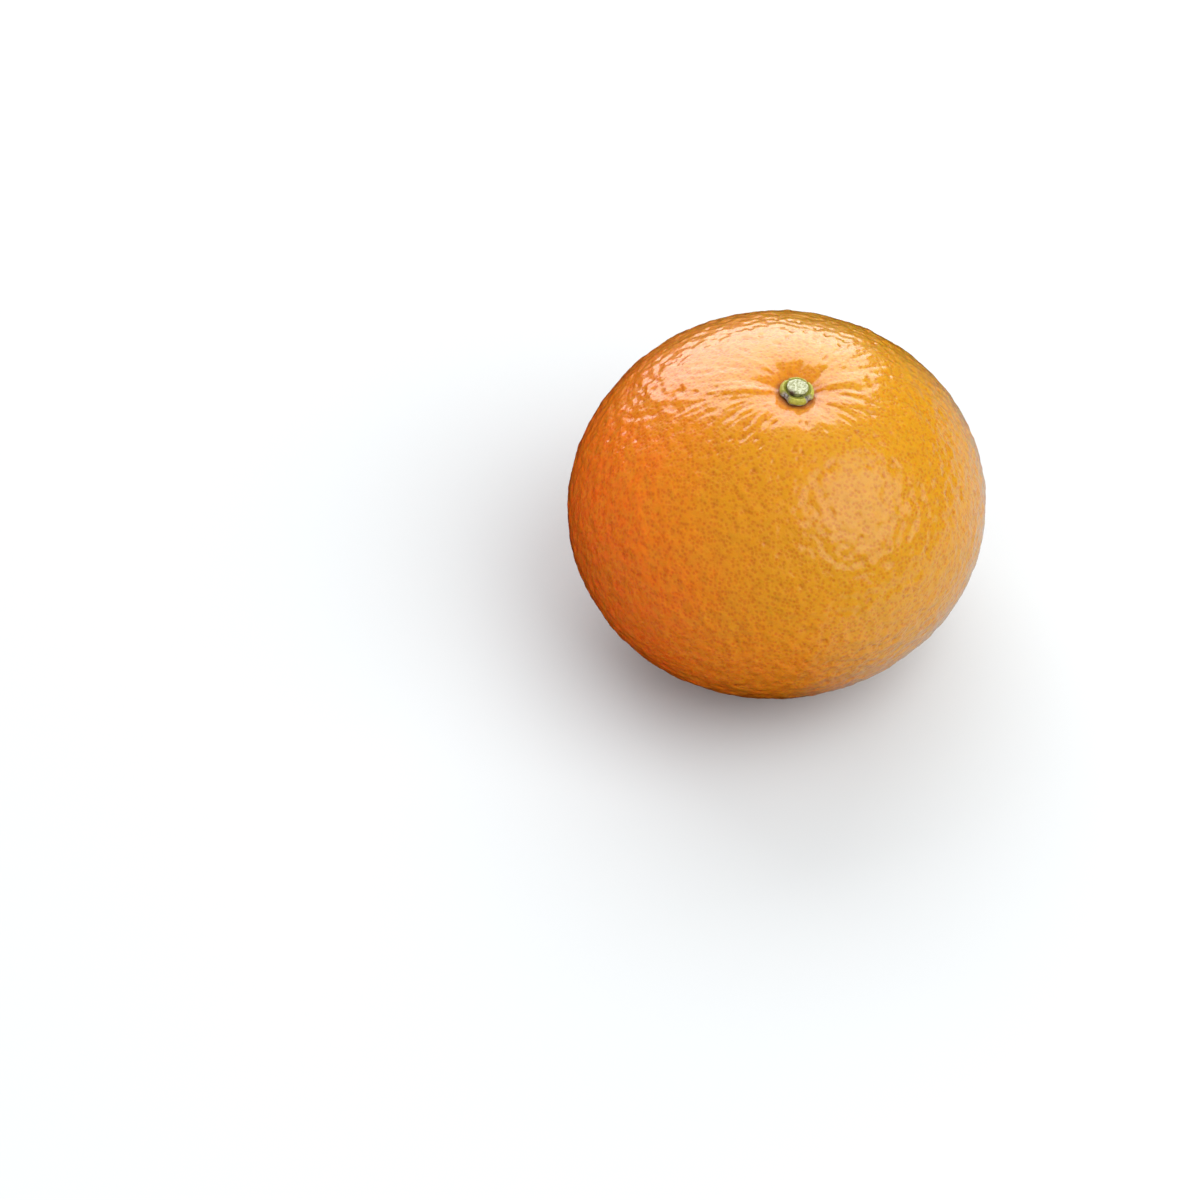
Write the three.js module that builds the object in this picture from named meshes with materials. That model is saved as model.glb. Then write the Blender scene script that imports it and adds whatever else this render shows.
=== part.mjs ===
// A whole mandarin, as picked: the fruit, its calyx and the cut stub of its stem.
// Units are millimetres, +Z is up. The fruit rests on the plane z = 0 on the flat spot under its
// blossom end, and the origin is the centre of its bounding box on that plane.
import * as THREE from 'three';
import { mergeVertices } from 'three/addons/utils/BufferGeometryUtils.js';

// Driving dimensions of the fruit
const DIAMETER = 70;                 // across the widest part
const HEIGHT = 57.4;                 // along the fruit's own axis, before the flat spot is taken off
const LEAN = -4.6;                   // degrees that the fruit's axis leans towards +X
const UNDER_FULLNESS = 0.04;         // how much fuller the lower half is than the upper half
const FLAT_SPOT_DEPTH = 0.75;        // what the flat spot takes off the underside
const FLAT_SPOT_OFFSET = -1.5;       // where the flat spot lies along X, off the middle of the underside
const STEM_OFFSET = [2.8, -0.4];     // where the stem stands, off the middle of the top

// The hollow around the stem, and the soft furrows that run out of it
const BASIN_DEPTH = 2.6;
const BASIN_RADIUS = 5.2;
const FURROWS = 9;
const FURROW_DEPTH = 0.2;
const FURROW_REACH = 6;              // where the furrows are deepest, from the stem

// The calyx and the stub
const CALYX_RADIUS = 2.85;
const CALYX_THICKNESS = 0.7;
const CALYX_RIM_RISE = 0.25;         // how far its rim stands above its middle
const SEPALS = 4;
const SEPAL_NOTCH = 0.07;            // how far the notches between sepals go in, of the radius
const STUB_RADIUS = 1.7;
const STUB_HEIGHT = 1.2;
const STUB_EDGE = 0.25;              // the height of the worn edge of its cut end
const STUB_DISH = 0.1;               // how far its cut end is hollowed
const JOIN_GAP = 0.3;                // between pieces that grow from each other

// Fineness of the meshes
const FRUIT_SEGMENTS = 64;
const FRUIT_RINGS = 44;
const RING_CROWDING = 1.35;          // over 1 puts more rings near the stem
const BUTTON_SEGMENTS = 48;

const halfWidth = DIAMETER / 2;
const halfHeight = HEIGHT / 2;
const centreHeight = halfHeight - FLAT_SPOT_DEPTH;
const bodyAxis = new THREE.Vector3(0, 0, 1)
  .applyAxisAngle(new THREE.Vector3(0, 1, 0), THREE.MathUtils.degToRad(LEAN));
const stemAxis = new THREE.Vector3(...STEM_OFFSET, halfHeight).normalize();
const up = new THREE.Vector3(0, 0, 1);

// Distance from the fruit's centre to its smooth body, in a unit direction.
function bodyRadius(direction) {
  const s = direction.dot(bodyAxis);
  const across = 1 - s * s;
  const spheroid = 1 / Math.sqrt(across / halfWidth ** 2 + s * s / halfHeight ** 2);
  return spheroid * (1 - UNDER_FULLNESS * s * across);
}

// How far the skin sinks around the stem: the basin, and the furrows that run out of it.
function stemHollow(direction, radius) {
  const fromStem = radius * direction.distanceTo(stemAxis);
  const basin = BASIN_DEPTH * Math.exp(-((fromStem / BASIN_RADIUS) ** 2));
  const reach = (fromStem / FURROW_REACH) ** 2;
  const bearing = Math.atan2(direction.y - stemAxis.y, direction.x - stemAxis.x);
  const furrow = FURROW_DEPTH * reach * Math.exp(1 - reach) * (1 + Math.cos(FURROWS * bearing)) / 2;
  return basin + furrow;
}

// A sphere's vertex, sent to the fruit's surface. The sphere's top pole goes to the stem, and its
// bottom pole goes to the middle of the flat spot, so the basin and the flat spot are ringed evenly.
function skinPoint(vertex) {
  const polar = Math.PI * (vertex.angleTo(up) / Math.PI) ** RING_CROWDING;
  const azimuth = Math.atan2(vertex.y, vertex.x);
  const direction = new THREE.Vector3().setFromSphericalCoords(1, polar, azimuth);
  direction.set(direction.z, direction.x, direction.y);
  const towardsStem = Math.max(0, direction.z) ** 2 / halfHeight;
  const towardsFlatSpot = Math.min(0, direction.z) ** 2 / centreHeight;
  direction.x += STEM_OFFSET[0] * towardsStem + FLAT_SPOT_OFFSET * towardsFlatSpot;
  direction.y += STEM_OFFSET[1] * towardsStem;
  direction.normalize();
  const radius = bodyRadius(direction);
  const point = direction.clone().multiplyScalar(radius - stemHollow(direction, radius));
  point.z = Math.max(0, point.z + centreHeight);
  return point;
}

// Keeps only positions and joins the vertices that meet along a seam or at a pole.
function closed(geometry) {
  geometry.deleteAttribute('normal');
  geometry.deleteAttribute('uv');
  return mergeVertices(geometry);
}

function moveVertices(geometry, place) {
  const position = geometry.attributes.position;
  const vertex = new THREE.Vector3();
  for (let i = 0; i < position.count; i += 1) {
    const moved = place(vertex.fromBufferAttribute(position, i));
    position.setXYZ(i, moved.x, moved.y, moved.z);
  }
  geometry.computeVertexNormals();
  return geometry;
}

function fruitGeometry() {
  const sphere = new THREE.SphereGeometry(1, FRUIT_SEGMENTS, FRUIT_RINGS).rotateX(Math.PI / 2);
  return moveVertices(closed(sphere), skinPoint);
}

// A profile of [radius, height] pairs turned about +Z.
function turned(profile) {
  const points = profile.map(([radius, height]) => new THREE.Vector2(radius, height));
  return closed(new THREE.LatheGeometry(points, BUTTON_SEGMENTS).rotateX(Math.PI / 2));
}

// Height of the basin's floor above its lowest point, at a distance from the stem's axis.
function basinFloor(distance) {
  return BASIN_DEPTH * (1 - Math.exp(-((distance / BASIN_RADIUS) ** 2))) - distance ** 2 / DIAMETER;
}

// The calyx is a low cup that lies in the basin, with a soft notch between its sepals.
function calyxGeometry() {
  const seat = (share) => [share * CALYX_RADIUS, JOIN_GAP + basinFloor(share * CALYX_RADIUS)];
  const crown = JOIN_GAP + CALYX_THICKNESS;
  const profile = [
    ...[0, 0.3, 0.6, 0.85, 0.95].map(seat),
    [CALYX_RADIUS, crown - 0.2 * CALYX_RIM_RISE],
    [0.94 * CALYX_RADIUS, crown + 0.8 * CALYX_RIM_RISE],
    [0.82 * CALYX_RADIUS, crown + CALYX_RIM_RISE],
    [0.7 * CALYX_RADIUS, crown],
    [0, crown],
  ];
  return moveVertices(turned(profile), (vertex) => {
    const bearing = Math.atan2(vertex.y, vertex.x) + Math.PI / 2;
    const outer = Math.hypot(vertex.x, vertex.y) / CALYX_RADIUS;
    const notch = 1 - SEPAL_NOTCH * outer ** 4 * (1 - Math.cos(SEPALS * bearing)) / 2;
    return vertex.set(vertex.x * notch, vertex.y * notch, vertex.z);
  });
}

// The stub is a short round peg, a little wider at its cut top.
function stubGeometry() {
  const foot = 2 * JOIN_GAP + CALYX_THICKNESS;
  const top = foot + STUB_HEIGHT;
  return turned([
    [0, foot],
    [0.88 * STUB_RADIUS, foot],
    [0.94 * STUB_RADIUS, foot + 0.6 * STUB_EDGE],
    [STUB_RADIUS, top - STUB_EDGE],
    [0.9 * STUB_RADIUS, top],
    [0.6 * STUB_RADIUS, top - 0.6 * STUB_DISH],
    [0, top - STUB_DISH],
  ]);
}

function named(name, geometry, color, roughness) {
  const material = new THREE.MeshStandardMaterial({ color, roughness, metalness: 0 });
  const mesh = new THREE.Mesh(geometry, material);
  mesh.name = name;
  return mesh;
}

const fruit = named('fruit', fruitGeometry(), 0xe5971f, 0.4);
const calyx = named('calyx', calyxGeometry(), 0xa2a436, 0.55);
const stub = named('stem_stub', stubGeometry(), 0xc9cdb0, 0.75);

// The calyx and the stub stand at the bottom of the basin, along the stem's axis.
const stemBase = bodyRadius(stemAxis) - BASIN_DEPTH;
const stem = new THREE.Group();
stem.add(calyx, stub);
stem.position.copy(stemAxis).multiplyScalar(stemBase).add(new THREE.Vector3(0, 0, centreHeight));
stem.quaternion.setFromUnitVectors(up, stemAxis);

// The whole fruit is moved so that the centre of its bounding box is over the origin.
fruit.geometry.computeBoundingBox();
const middle = fruit.geometry.boundingBox.getCenter(new THREE.Vector3());
const mandarin = new THREE.Group();
mandarin.add(fruit, stem);
mandarin.position.set(-middle.x, -middle.y, 0);

export default mandarin;
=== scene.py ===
import math

import bpy
import numpy as np
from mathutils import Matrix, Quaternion, Vector
from mathutils.kdtree import KDTree


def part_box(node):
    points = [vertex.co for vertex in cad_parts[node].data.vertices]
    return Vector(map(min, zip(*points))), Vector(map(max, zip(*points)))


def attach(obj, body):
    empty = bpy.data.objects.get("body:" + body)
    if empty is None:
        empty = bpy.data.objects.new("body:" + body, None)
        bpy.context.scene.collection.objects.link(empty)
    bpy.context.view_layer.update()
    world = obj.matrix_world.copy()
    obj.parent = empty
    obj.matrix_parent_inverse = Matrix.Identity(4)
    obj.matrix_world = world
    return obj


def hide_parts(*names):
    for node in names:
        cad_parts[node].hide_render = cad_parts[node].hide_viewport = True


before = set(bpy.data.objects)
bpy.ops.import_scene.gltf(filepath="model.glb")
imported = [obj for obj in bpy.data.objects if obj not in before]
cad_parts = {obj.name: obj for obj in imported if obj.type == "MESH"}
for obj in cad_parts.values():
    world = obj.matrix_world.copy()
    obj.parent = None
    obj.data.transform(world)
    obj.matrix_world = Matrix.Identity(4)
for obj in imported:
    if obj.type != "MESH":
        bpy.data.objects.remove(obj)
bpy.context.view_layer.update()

MM = 0.001
random = np.random.default_rng(20)

# The fruit's shape, in millimetres, as the CAD model has it
fruit_low, fruit_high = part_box("fruit")
HALF_WIDTH = (fruit_high.x - fruit_low.x) / 2 / MM
HALF_HEIGHT = 0.82 * HALF_WIDTH
FLAT_SPOT_DEPTH = 0.75
FLAT_SPOT_OFFSET = -1.5
CENTRE_HEIGHT = HALF_HEIGHT - FLAT_SPOT_DEPTH
LEAN = math.radians(-4.6)
UNDER_FULLNESS = 0.04
STEM_OFFSET = (2.8, -0.4)
BASIN_DEPTH = 2.6
BASIN_RADIUS = 5.2
FURROWS = 9
FURROW_DEPTH = 0.2
FURROW_REACH = 6.0
BODY_AXIS = np.array([math.sin(LEAN), 0.0, math.cos(LEAN)])
STEM_AXIS = np.array([*STEM_OFFSET, HALF_HEIGHT])
STEM_AXIS /= np.linalg.norm(STEM_AXIS)

# The peel's fine surface, in millimetres
GRID_FREQUENCY = 98
LUMPS = ((17.0, 0.22), (7.0, 0.09))             # size and height
GRAIN = ((2.6, 0.11), (1.4, 0.14))
GRAIN_NEAR_STEM = 0.12                          # what is left of the grain near the stem
CREASES = ((7.0, 5.5, 0.12), (11.0, 10.0, 0.16), (18.0, 15.0, 0.12))   # count, reach and depth
CREASE_LENGTH = 5.0
CREASE_BEARING = math.radians(15)               # the creases are deepest along this line
PITS = 2300
PIT_DEPTH = 0.24
PIT_RADII = (0.42, 0.78)
GLAND_SPACING = 0.68
SCAR_RADIUS = 0.95

# The calyx and the stub, in millimetres
CALYX_RADIUS = 2.85
STUB_RADIUS = 1.7
SEPAL_BEARINGS = [math.radians(angle) for angle in (-90, 8, 86, 164)]
SEPAL_HALF_WIDTH = math.radians(52)
RIM_HEIGHT = 1.0
RIM_HALF_THICKNESS = 0.5
RIM_HALF_WIDTH = 0.62
STUB_FOOT = 1.15
STUB_SHOULDER = 2.3
STUB_EDGE = 0.22
CHIP_BEARING = math.radians(-128)


# ---------------------------------------------------------------- numbers in space

GRADIENTS = random.normal(size=(4096, 3))
GRADIENTS /= np.linalg.norm(GRADIENTS, axis=1)[:, None]


def noise(points, size, seed):
    """Smooth random values, about -1 to 1, that change over lengths of the given size."""
    cell = points / size + 1000.5
    base = np.floor(cell).astype(np.int64)
    part = cell - base
    fade = part ** 3 * (part * (part * 6 - 15) + 10)
    total = np.zeros(len(points))
    for corner in np.ndindex(2, 2, 2):
        lattice = base + np.array(corner)
        hashed = lattice[:, 0] * 73856093 ^ lattice[:, 1] * 19349663 ^ lattice[:, 2] * 83492791
        gradient = GRADIENTS[(hashed + seed * 7919) % len(GRADIENTS)]
        weight = np.prod(np.where(corner, fade, 1 - fade), axis=1)
        total += weight * np.einsum("ij,ij->i", gradient, part - np.array(corner))
    return total * 1.7


def smoothstep(low, high, value):
    """A soft step from 0 at low to 1 at high."""
    share = np.clip((value - low) / (high - low), 0, 1)
    return share * share * (3 - 2 * share)


def fibonacci_sphere(count, jitter):
    """Unit directions spread evenly over a sphere, each moved at random by a share of its spacing."""
    index = np.arange(count) + 0.5
    height = 1 - 2 * index / count
    bearing = math.pi * (1 + math.sqrt(5)) * index
    ring = np.sqrt(1 - height ** 2)
    points = np.stack([ring * np.cos(bearing), ring * np.sin(bearing), height], axis=1)
    spacing = math.sqrt(4 * math.pi / count)
    points += random.normal(size=points.shape) * spacing * jitter
    return points / np.linalg.norm(points, axis=1)[:, None]


def geodesic_sphere(frequency):
    """Vertices and triangles of an icosahedron whose faces are divided finely and evenly."""
    golden = (1 + math.sqrt(5)) / 2
    corners = [np.roll((0, a, b * golden), turn) for turn in range(3) for a in (-1, 1) for b in (-1, 1)]
    corners = np.array(corners) / math.hypot(1, golden)
    edge = min(np.linalg.norm(corners[0] - corner) for corner in corners[1:])
    near = np.linalg.norm(corners[:, None] - corners[None], axis=2) < edge * 1.01
    points = []
    triangles = []
    for a in range(12):
        for b in range(a + 1, 12):
            for c in range(b + 1, 12):
                if near[a, b] and near[b, c] and near[a, c]:
                    face = corners[[a, b, c]]
                    if np.linalg.det(face) < 0:
                        face = face[[0, 2, 1]]
                    start = sum(len(p) for p in points)
                    face_points, face_triangles = divided_face(face, frequency)
                    points.append(face_points)
                    triangles.append(face_triangles + start)
    points = np.concatenate(points)
    triangles = np.concatenate(triangles)
    _, first, shared = np.unique(np.round(points, 6), axis=0, return_index=True, return_inverse=True)
    return points[first], shared.reshape(-1)[triangles]


def divided_face(face, frequency):
    """One triangular face as a fine triangular grid on the unit sphere."""
    rows = [(i, j) for i in range(frequency + 1) for j in range(frequency + 1 - i)]
    number = {pair: index for index, pair in enumerate(rows)}
    i, j = np.array(rows).T / frequency
    weights = np.stack([1 - i - j, i, j], axis=1)
    weights = np.tan(weights * 0.8) / math.tan(0.8)
    points = weights @ face
    points /= np.linalg.norm(points, axis=1)[:, None]
    triangles = []
    for i, j in rows:
        if i + j < frequency:
            triangles.append((number[i, j], number[i + 1, j], number[i, j + 1]))
        if i + j < frequency - 1:
            triangles.append((number[i + 1, j], number[i + 1, j + 1], number[i, j + 1]))
    return points, np.array(triangles)


# ---------------------------------------------------------------- the fruit's surface

def body_radius(direction):
    """Distance from the fruit's centre to its smooth body, as in the CAD model."""
    s = direction @ BODY_AXIS
    across = 1 - s * s
    spheroid = 1 / np.sqrt(across / HALF_WIDTH ** 2 + s * s / HALF_HEIGHT ** 2)
    return spheroid * (1 - UNDER_FULLNESS * s * across)


def stem_polar(direction):
    """Distance from the stem's axis along the surface, and bearing around it."""
    distance = body_radius(direction) * np.linalg.norm(direction - STEM_AXIS, axis=1)
    offset = direction - STEM_AXIS
    return distance, np.arctan2(offset[:, 1], offset[:, 0])


def stem_hollow(distance, bearing):
    """How far the skin sinks around the stem: the basin and its soft furrows, as in the CAD model."""
    basin = BASIN_DEPTH * np.exp(-(distance / BASIN_RADIUS) ** 2)
    reach = (distance / FURROW_REACH) ** 2
    furrow = FURROW_DEPTH * reach * np.exp(1 - reach) * (1 + np.cos(FURROWS * bearing)) / 2
    return basin + furrow


def creases(distance, bearing):
    """Fine creases that run out from the stem, deepest to its left and right."""
    depth = 0
    sides = 0.25 + 0.75 * np.cos(bearing - CREASE_BEARING) ** 2
    along = distance / CREASE_LENGTH
    for seed, (count, reach, strength) in enumerate(CREASES, 1):
        turned = bearing + 0.15 * np.sin(3 * bearing + seed)
        wheel = np.stack([count * np.cos(turned), count * np.sin(turned), along], axis=1)
        share = (distance / reach) ** 2
        depth = depth + strength * sides * share * np.exp(1 - share) * noise(wheel, 1.0, seed)
    return depth


def waves(points, distance):
    """The peel's uneven relief: the whole fruit's lumps, and a grain that fades near the stem."""
    (wide, high), (narrow, low) = LUMPS
    lumps = high * noise(points, wide, 11) + low * noise(points, narrow, 12)
    (wide, high), (narrow, low) = GRAIN
    grain = high * noise(points, wide, 13) + low * noise(points, narrow, 14)
    fade = GRAIN_NEAR_STEM + (1 - GRAIN_NEAR_STEM) * smoothstep(9.0, 28.0, distance)
    return lumps + grain * fade


def sparse_pits(points):
    """Depth, from 0 to 1, of the larger pits, which are drawn out lengthways near the stem."""
    depth = np.zeros(len(points))
    tree = KDTree(len(points))
    for index, point in enumerate(points):
        tree.insert(point, index)
    tree.balance()
    centres = fibonacci_sphere(PITS, 0.42)
    centres = centres[noise(centres * HALF_WIDTH, 9.0, 21) > -0.35]
    radii = random.uniform(*PIT_RADII, len(centres))
    depths = random.uniform(0.25, 1.0, len(centres)) ** 1.5
    for centre, radius, strength in zip(centres, radii, depths):
        middle = centre * body_radius(centre[None])[0]
        away = centre - STEM_AXIS
        away -= centre * (away @ centre)
        away /= max(np.linalg.norm(away), 1e-6)
        from_stem = np.linalg.norm(middle - STEM_AXIS * HALF_HEIGHT)
        stretch = 1 + 1.3 * math.exp(-(from_stem / 16) ** 2)
        for _, index, _ in tree.find_range(middle, radius * stretch * 1.3):
            offset = points[index] - middle
            along = offset @ away / stretch
            across = offset - away * (offset @ away)
            share = (along ** 2 + across @ across) / radius ** 2
            if share < 1:
                depth[index] = max(depth[index], strength * (1 - share) ** 2)
    return depth


def blossom_end(points):
    """Distance of each point from the middle of the underside, where the flower was."""
    return np.hypot(points[:, 0] - FLAT_SPOT_OFFSET, points[:, 1]) + np.maximum(points[:, 2], 0) * 1.5


def make_peel():
    """The whole skin, and how far its middle was moved to stand over the origin."""
    direction, triangles = geodesic_sphere(GRID_FREQUENCY)
    radius = body_radius(direction)
    smooth = direction * radius[:, None]
    distance, bearing = stem_polar(direction)
    pit_and_shade = sparse_pits(smooth)
    near_stem = np.exp(-(distance / 3.6) ** 2)
    calm = 1 - near_stem
    relief = waves(smooth, distance) * calm + creases(distance, bearing) * smoothstep(2.6, 4.0, distance)
    relief -= PIT_DEPTH * pit_and_shade * calm
    points = direction * (radius - stem_hollow(distance, bearing) + relief)[:, None]
    points[:, 2] += CENTRE_HEIGHT
    from_scar = blossom_end(points)
    scar_ring = np.exp(-((from_scar - SCAR_RADIUS) / 0.3) ** 2)
    dimple = 0.4 * np.exp(-(from_scar / 2.6) ** 2) - 0.15 * scar_ring
    grounded = dimple + 0.04 * (1 + noise(points, 3.0, 31)) * np.exp(-(from_scar / 7) ** 2)
    points[:, 2] = np.maximum(points[:, 2], np.maximum(grounded, 0))
    middle = (points[:, :2].min(axis=0) + points[:, :2].max(axis=0)) / 2
    points[:, :2] -= middle
    attributes = {
        "calm": calm,
        "pit_and_shade": pit_and_shade,
        # Where the painted shade of the basin falls.
        "basin": np.exp(-(distance / 5.2) ** 2),
        # Where the painted shade round the calyx's foot falls.
        "collar": smoothstep(4.1, 3.0, distance),
        "scar": np.exp(-(from_scar / 1.0) ** 2) + 0.5 * scar_ring,
        "scar_halo": np.exp(-(from_scar / 5.0) ** 2),
    }
    return make_mesh("peel", points, triangles, attributes), middle


def make_mesh(name, points, triangles, attributes):
    """An object with smooth shading and one number per vertex for each attribute. Points are in mm."""
    mesh = bpy.data.meshes.new(name)
    mesh.from_pydata((points * MM).tolist(), [], triangles.tolist())
    for attribute, values in attributes.items():
        layer = mesh.attributes.new(attribute, "FLOAT", "POINT")
        layer.data.foreach_set("value", np.ascontiguousarray(values, dtype=np.float32))
    mesh.shade_smooth()
    piece = bpy.data.objects.new(name, mesh)
    bpy.context.scene.collection.objects.link(piece)
    return piece


# ---------------------------------------------------------------- the calyx and the stub

def basin_floor(distance):
    """Height of the basin's floor above its lowest point, as in the CAD model."""
    return BASIN_DEPTH * (1 - np.exp(-(distance / BASIN_RADIUS) ** 2)) - distance ** 2 / (2 * HALF_WIDTH)


def turned_shell(profile, segments, place):
    """A closed shell: each [radius, height] ring of the profile, which starts and ends on the axis."""
    rings = np.array(profile)
    bearing = np.arange(segments) * 2 * math.pi / segments
    radius = np.repeat(rings[1:-1, 0], segments)
    height = np.repeat(rings[1:-1, 1], segments)
    bearings = np.tile(bearing, len(rings) - 2)
    count = len(radius)
    radius = np.append(radius, [0.0, 0.0])
    height = np.append(height, [rings[0, 1], rings[-1, 1]])
    bearings = np.append(bearings, [0.0, 0.0])
    points, attributes = place(radius, height, bearings)
    triangles = []
    for ring in range(len(rings) - 3):
        for k in range(segments):
            a = ring * segments + k
            b = ring * segments + (k + 1) % segments
            triangles.append((a, b, b + segments))
            triangles.append((a, b + segments, a + segments))
    last = (len(rings) - 3) * segments
    for k in range(segments):
        after = (k + 1) % segments
        triangles.append((count, after, k))
        triangles.append((count + 1, last + k, last + after))
    return points, np.array(triangles), attributes


def angle_between(a, b):
    return np.abs((a - b + math.pi) % (2 * math.pi) - math.pi)


def sepal_share(bearing):
    """1 along the middle of a sepal, falling to 0 in the notches between sepals."""
    nearest = np.min([angle_between(bearing, middle) for middle in SEPAL_BEARINGS], axis=0)
    return 1 - smoothstep(0.5, 0.92, nearest / SEPAL_HALF_WIDTH)


def calyx_profile():
    """From the underside's middle, out along the basin's floor, over the rim and back to the middle."""
    under = [(r, basin_floor(r) - 0.05) for r in np.linspace(0, CALYX_RADIUS - 0.6, 14)]
    centre = CALYX_RADIUS - RIM_HALF_WIDTH
    rim = [
        (centre + RIM_HALF_WIDTH * math.cos(turn), RIM_HEIGHT + RIM_HALF_THICKNESS * math.sin(turn))
        for turn in np.linspace(-0.45, 0.5, 40)[1:] * math.pi
    ]
    top = RIM_HEIGHT + RIM_HALF_THICKNESS
    inner = [(r, top - 0.25 * smoothstep(2.3, 1.6, r)) for r in np.linspace(2.25, 0, 26)]
    return under + rim + inner


def place_calyx(radius, height, bearing):
    """Gives the calyx its sepals, ribs and dry notches."""
    flat = np.stack([radius * np.cos(bearing), radius * np.sin(bearing), height], axis=1)
    sepal = sepal_share(bearing + 0.16 * noise(flat, 0.8, 45))
    outer = np.clip(radius / CALYX_RADIUS, 0, 1)
    top = smoothstep(0.9, 1.2, height)
    reach = 1 - 0.16 * (1 - sepal) * outer ** 3
    ribs = 0.03 * np.cos(bearing * 34 + 2 * noise(flat, 1.2, 43)) * outer * top
    bulge = 0.42 * sepal * np.exp(-((radius - 2.35) / 0.55) ** 2) * top
    rough = 0.07 * noise(flat, 0.7, 41) * (1 - 0.6 * sepal) + 0.03 * noise(flat, 0.3, 42)
    radius = radius * (reach + 0.02 * noise(flat, 0.9, 44))
    height = height + bulge + ribs + rough * top - 0.25 * (1 - sepal) * top * outer ** 4
    points = np.stack([radius * np.cos(bearing), radius * np.sin(bearing), height], axis=1)
    edge = smoothstep(0.93, 1.0, outer) * (1 - smoothstep(0.9, 1.15, height))
    dry = np.clip((1 - sepal) * smoothstep(0.5, 0.7, outer) + edge, 0, 1)
    return points, {"dry": dry, "sepal": sepal}


def stub_profile():
    """From the foot's middle up the side, over the worn edge and in across the cut end."""
    rise = STUB_SHOULDER - STUB_FOOT
    widening = [(share, 0.86 + 0.14 * smoothstep(0, 0.8, share)) for share in np.linspace(0, 1, 22)]
    side = [(STUB_RADIUS * width, STUB_FOOT + rise * share) for share, width in widening]
    lip = [
        (STUB_RADIUS - 0.28 + 0.28 * math.cos(turn), STUB_SHOULDER + STUB_EDGE * math.sin(turn))
        for turn in np.linspace(0, 0.5, 12)[1:] * math.pi
    ]
    top = STUB_SHOULDER + STUB_EDGE
    cut = [(r, top - 0.05 * smoothstep(1.5, 0.4, r)) for r in np.linspace(STUB_RADIUS - 0.32, 0, 26)]
    return [(0, STUB_FOOT)] + side + lip + cut


def place_stub(radius, height, bearing):
    """Gives the stub its grooved side and its flaky, chipped cut end."""
    flat = np.stack([radius * np.cos(bearing), radius * np.sin(bearing), height], axis=1)
    top = smoothstep(2.25, 2.5, height)
    outline = 1 + 0.05 * np.cos(2 * bearing + 0.7)
    outline = outline + 0.035 * noise(flat, 1.6, 51) + 0.02 * noise(flat, 0.5, 52)
    grooves = 1 - 0.03 * (1 - top) * np.abs(np.cos(bearing * 9 + noise(flat, 1.0, 55)))
    flakes = 0.08 * noise(flat, 0.75, 53) + 0.05 * noise(flat, 0.32, 54)
    notch = 0.3 * np.exp(-(angle_between(bearing, CHIP_BEARING) / 0.35) ** 2)
    chip_and_shade = notch * smoothstep(1.0, 1.7, radius)
    radius = radius * outline * grooves
    height = height + (flakes - chip_and_shade) * top
    points = np.stack([radius * np.cos(bearing), radius * np.sin(bearing), height], axis=1)
    # The chip's share also paints shade into the notch.
    return points, {"cut": top, "chip_and_shade": np.clip(chip_and_shade * 4, 0, 1)}


def stand_in_basin(piece, middle):
    """Moves a piece from the stem's own frame to its place at the bottom of the basin."""
    base = STEM_AXIS * (body_radius(STEM_AXIS[None])[0] - BASIN_DEPTH)
    base = base + np.array([-middle[0], -middle[1], CENTRE_HEIGHT])
    turn = Vector((0, 0, 1)).rotation_difference(Vector(STEM_AXIS))
    matrix = turn.to_matrix().to_4x4()
    matrix.translation = Vector(base * MM)
    piece.data.transform(matrix)


# ---------------------------------------------------------------- materials

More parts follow.
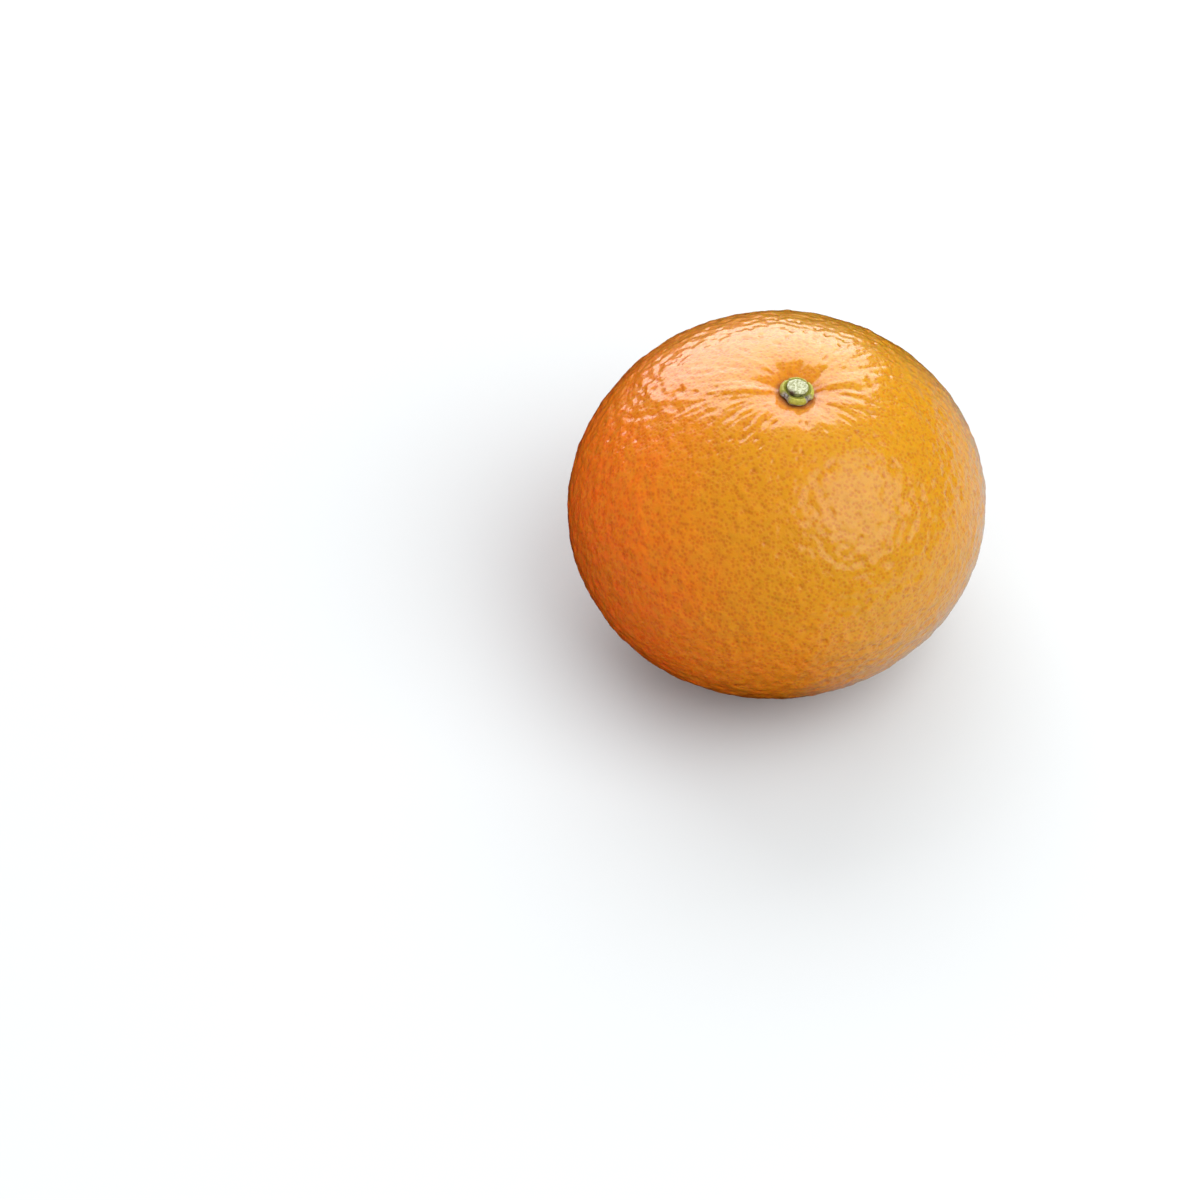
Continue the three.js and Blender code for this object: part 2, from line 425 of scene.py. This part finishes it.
class Nodes:
    """A small helper that makes nodes and links them by socket name."""

    def __init__(self, name):
        self.material = bpy.data.materials.new(name)
        self.material.use_nodes = True
        self.tree = self.material.node_tree
        self.shader = self.tree.nodes["Principled BSDF"]

    def add(self, kind, **values):
        node = self.tree.nodes.new(kind)
        for key, value in values.items():
            setattr(node, key, value)
        return node

    def link(self, source, target):
        self.tree.links.new(source, target)

    def attribute(self, name):
        return self.add("ShaderNodeAttribute", attribute_name=name).outputs["Fac"]

    def noise(self, size_mm, detail=3.0, roughness=0.55):
        node = self.add("ShaderNodeTexNoise")
        place = self.add("ShaderNodeTexCoord")
        self.link(place.outputs["Object"], node.inputs["Vector"])
        node.inputs["Scale"].default_value = 1 / (size_mm * MM)
        node.inputs["Detail"].default_value = detail
        node.inputs["Roughness"].default_value = roughness
        return node.outputs["Fac"]

    def cells(self, size_mm):
        """Distance from the nearest of many scattered points, in cell sizes."""
        node = self.add("ShaderNodeTexVoronoi")
        place = self.add("ShaderNodeTexCoord")
        self.link(place.outputs["Object"], node.inputs["Vector"])
        node.inputs["Scale"].default_value = 1 / (size_mm * MM)
        return node.outputs["Distance"]

    def remap(self, source, low, high, to_low=0.0, to_high=1.0):
        node = self.add("ShaderNodeMapRange", interpolation_type="SMOOTHSTEP")
        self.link(source, node.inputs["Value"])
        node.inputs["From Min"].default_value = low
        node.inputs["From Max"].default_value = high
        node.inputs["To Min"].default_value = to_low
        node.inputs["To Max"].default_value = to_high
        return node.outputs["Result"]

    def math(self, operation, a, b):
        node = self.add("ShaderNodeMath", operation=operation)
        for socket, value in zip(node.inputs, (a, b)):
            if isinstance(value, (int, float)):
                socket.default_value = value
            else:
                self.link(value, socket)
        return node.outputs[0]

    def mix(self, share, a, b, blend="MIX"):
        node = self.add("ShaderNodeMix", data_type="RGBA", blend_type=blend)
        if isinstance(share, (int, float)):
            node.inputs[0].default_value = share
        else:
            self.link(share, node.inputs[0])
        for socket, value in ((node.inputs[6], a), (node.inputs[7], b)):
            if isinstance(value, tuple):
                socket.default_value = (*value, 1)
            else:
                self.link(value, socket)
        return node.outputs[2]

    def bump(self, height, distance_mm):
        node = self.add("ShaderNodeBump")
        self.link(height, node.inputs["Height"])
        node.inputs["Distance"].default_value = distance_mm * MM
        node.inputs["Strength"].default_value = 1.0
        self.link(node.outputs["Normal"], self.shader.inputs["Normal"])

    def set(self, **values):
        for key, value in values.items():
            self.shader.inputs[key.replace("_", " ")].default_value = value


def peel_material():
    """Yellow-orange peel with darker glands and a waxy gloss. Its colour holds painted shade: redder and
    darker towards -X and the bottom, and darker in the deep basin, in the pits and in a ring round the
    calyx's foot.
    """
    n = Nodes("peel")
    place = n.add("ShaderNodeTexCoord").outputs["Object"]
    split = n.add("ShaderNodeSeparateXYZ")
    n.link(place, split.inputs[0])
    # Painted shade and bounce light: the peel is painted redder and darker towards -X and towards the
    # bottom, with a random tone mixed in.
    sideways = n.math("MULTIPLY", split.outputs["X"], -1 / (HALF_WIDTH * MM))
    downward = n.math("MULTIPLY", split.outputs["Z"], -0.7 / (HALF_WIDTH * MM))
    painted_side_shade = n.math("ADD", n.math("ADD", sideways, downward), n.math("MULTIPLY", n.noise(16.0), 0.8))
    painted_side_shade = n.remap(painted_side_shade, -0.95, 1.15)
    peel_colour = n.mix(painted_side_shade, (0.43, 0.195, 0.002), (0.70, 0.092, 0.001))
    peel_colour = n.mix(n.remap(n.noise(1.7), 0.35, 0.7, 0, 0.35), peel_colour, (0.49, 0.205, 0.003))
    # Painted shade: the peel is painted darker and redder in the deep basin round the stem.
    peel_colour = n.mix(n.math("MULTIPLY", n.attribute("basin"), 0.85), peel_colour, (0.50, 0.13, 0.003))
    gland = n.math("MULTIPLY", n.remap(n.cells(GLAND_SPACING), 0.1, 0.65, 1, 0), n.attribute("calm"))
    peel_colour = n.mix(gland, peel_colour, (0.90, 0.70, 0.6), "MULTIPLY")
    # Painted shade: the larger pits are painted darker, on top of their sunken shape.
    peel_colour = n.mix(n.math("MULTIPLY", n.attribute("pit_and_shade"), 0.5), peel_colour, (0.85, 0.55, 0.4), "MULTIPLY")
    # Painted shade: a mottled dark brown ring on the peel where it meets the calyx's foot, under its rim.
    collar_shade_colour = n.mix(n.noise(0.6), (0.22, 0.07, 0.02), (0.42, 0.13, 0.03))
    peel_colour = n.mix(n.math("MULTIPLY", n.attribute("collar"), 0.9), peel_colour, collar_shade_colour)
    peel_colour = n.mix(n.math("MULTIPLY", n.attribute("scar_halo"), 0.35), peel_colour, (0.72, 0.38, 0.09))
    peel_colour = n.mix(n.attribute("scar"), peel_colour, (0.16, 0.13, 0.07))
    n.link(peel_colour, n.shader.inputs["Base Color"])
    n.link(n.remap(n.noise(2.2), 0.3, 0.7, 0.30, 0.40), n.shader.inputs["Roughness"])
    grain = n.math("ADD", n.noise(0.8, 2.0), n.math("MULTIPLY", gland, -0.5))
    n.bump(grain, 0.12)
    n.set(Subsurface_Weight=0.35, Subsurface_Scale=0.004, Subsurface_Radius=(1.0, 0.3, 0.08))
    n.set(IOR=1.46, Specular_IOR_Level=0.28)
    n.set(Coat_Weight=1.0, Coat_Roughness=0.14, Coat_IOR=1.5)
    return n.material


def calyx_material():
    """Plump yellow-green sepals with grey-brown, dry edges."""
    n = Nodes("calyx")
    green = n.mix(n.remap(n.noise(0.9), 0.3, 0.7), (0.22, 0.215, 0.014), (0.36, 0.34, 0.045))
    streak = n.remap(n.noise(0.22, 4.0), 0.45, 0.75, 0, 0.5)
    green = n.mix(streak, green, (0.42, 0.40, 0.13))
    grey = n.mix(n.remap(n.noise(0.35), 0.35, 0.65), (0.10, 0.075, 0.06), (0.34, 0.30, 0.27))
    n.link(n.mix(n.attribute("dry"), green, grey), n.shader.inputs["Base Color"])
    n.link(n.remap(n.noise(0.4), 0.3, 0.7, 0.42, 0.62), n.shader.inputs["Roughness"])
    n.bump(n.noise(0.15, 4.0), 0.02)
    n.set(Subsurface_Weight=0.2, Subsurface_Scale=0.001, Subsurface_Radius=(0.6, 0.8, 0.2))
    return n.material


def stem_material():
    """The dry cut end: pale grey-green flakes on a darker, greener side."""
    n = Nodes("stem")
    pale = n.mix(n.remap(n.noise(0.4, 4.0), 0.4, 0.62), (0.20, 0.205, 0.09), (0.44, 0.455, 0.30))
    pale = n.mix(n.remap(n.noise(0.16, 4.0), 0.5, 0.75), pale, (0.60, 0.61, 0.50))
    side = n.mix(n.remap(n.noise(0.3, 3.0), 0.35, 0.65), (0.09, 0.10, 0.03), (0.30, 0.31, 0.12))
    colour = n.mix(n.attribute("cut"), side, pale)
    # Painted shade: the chipped notch in the cut end is painted near black.
    colour = n.mix(n.attribute("chip_and_shade"), colour, (0.07, 0.04, 0.025))
    n.link(colour, n.shader.inputs["Base Color"])
    n.link(n.remap(n.noise(0.3), 0.3, 0.7, 0.6, 0.85), n.shader.inputs["Roughness"])
    n.bump(n.noise(0.12, 4.0), 0.03)
    return n.material


def floor_material():
    """Plain and pale. Its reflection is dark except towards +X, as if black card lay on the rest."""
    n = Nodes("floor")
    outward = n.add("ShaderNodeVectorMath", operation="NORMALIZE")
    n.link(n.add("ShaderNodeTexCoord").outputs["Object"], outward.inputs[0])
    sideways = n.add("ShaderNodeVectorMath", operation="DOT_PRODUCT")
    n.link(outward.outputs["Vector"], sideways.inputs[0])
    sideways.inputs[1].default_value = towards(100, 0)
    hidden = n.remap(sideways.outputs["Value"], 0.2, 0.9, 1.0, 0.4)
    reflected = n.add("ShaderNodeLightPath").outputs["Is Glossy Ray"]
    colour = n.mix(n.math("MULTIPLY", hidden, reflected), (0.484, 0.50, 0.508), (0.0, 0.0, 0.0))
    n.link(colour, n.shader.inputs["Base Color"])
    n.set(Roughness=0.7, Specular_IOR_Level=0.0)
    return n.material


# ---------------------------------------------------------------- light, floor and camera

def towards(azimuth, elevation):
    """A unit vector: azimuth 0 is +Y, away from the camera, and 90 is +X."""
    a = math.radians(azimuth)
    e = math.radians(elevation)
    return Vector((math.sin(a) * math.cos(e), math.cos(a) * math.cos(e), math.sin(e)))


def soft_light(name, shape, azimuth, elevation, distance, width, height, radiance, roll=0):
    """A light panel aimed at the fruit. The radiance is the brightness of its face."""
    light = bpy.data.lights.new(name, "AREA")
    light.shape = shape
    light.size = width
    light.size_y = height
    light.energy = radiance * math.pi * width * height * (math.pi / 4 if shape == "ELLIPSE" else 1)
    lamp = bpy.data.objects.new(name, light)
    direction = towards(azimuth, elevation)
    lamp.location = direction * distance + Vector((0, 0, HALF_HEIGHT * MM))
    facing = direction.to_track_quat("Z", "Y") @ Quaternion((0, 0, 1), math.radians(roll))
    lamp.rotation_euler = facing.to_euler()
    bpy.context.scene.collection.objects.link(lamp)
    return lamp


def make_studio():
    """A big panel behind, a soft round one at the right, and fills that have no reflection."""
    world = bpy.data.worlds.new("studio")
    world.use_nodes = True
    background = world.node_tree.nodes["Background"]
    background.inputs["Color"].default_value = (1, 1, 1, 1)
    background.inputs["Strength"].default_value = 1.0
    world.cycles_visibility.glossy = False
    bpy.context.scene.world = world
    soft_light("back_panel", "RECTANGLE", -6, 28, 1.2, 1.51, 1.42, 3.0, roll=15)
    for width, radiance in ((0.5, 1.5), (0.75, 1.2), (1.0, 0.9)):
        soft_light("side_panel", "ELLIPSE", 118, 46, 0.9, width, width, radiance)
    fill = soft_light("fill_panel", "RECTANGLE", 120, 55, 1.3, 1.3, 1.3, 2.6)
    fill.visible_glossy = False
    bpy.ops.mesh.primitive_grid_add(x_subdivisions=4, y_subdivisions=4, size=8)
    floor = bpy.context.object
    floor.name = "floor"
    floor.data.materials.append(floor_material())
    view = bpy.context.scene.view_settings
    view.view_transform = "Standard"
    view.look = "None"


def make_camera():
    """The camera looks down on the fruit from the front, and the fruit lies to the right of its middle."""
    camera = bpy.data.cameras.new("camera")
    camera.sensor_width = 36
    camera.lens = 139.3
    holder = bpy.data.objects.new("camera", camera)
    aim = Vector((-29.5, 2.2, -0.75)) * MM
    direction = towards(180, 50)
    holder.location = aim + direction * 0.8
    holder.rotation_euler = direction.to_track_quat("Z", "Y").to_euler()
    bpy.context.scene.collection.objects.link(holder)
    bpy.context.scene.camera = holder


def dress(piece, node, material):
    piece.data.materials.append(material)
    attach(piece, "root")
    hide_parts(node)


make_camera()
make_studio()
peel, middle = make_peel()
calyx = make_mesh("calyx_button", *turned_shell(calyx_profile(), 180, place_calyx))
stub = make_mesh("cut_stub", *turned_shell(stub_profile(), 160, place_stub))
stand_in_basin(calyx, middle)
stand_in_basin(stub, middle)
dress(peel, "fruit", peel_material())
dress(calyx, "calyx", calyx_material())
dress(stub, "stem_stub", stem_material())
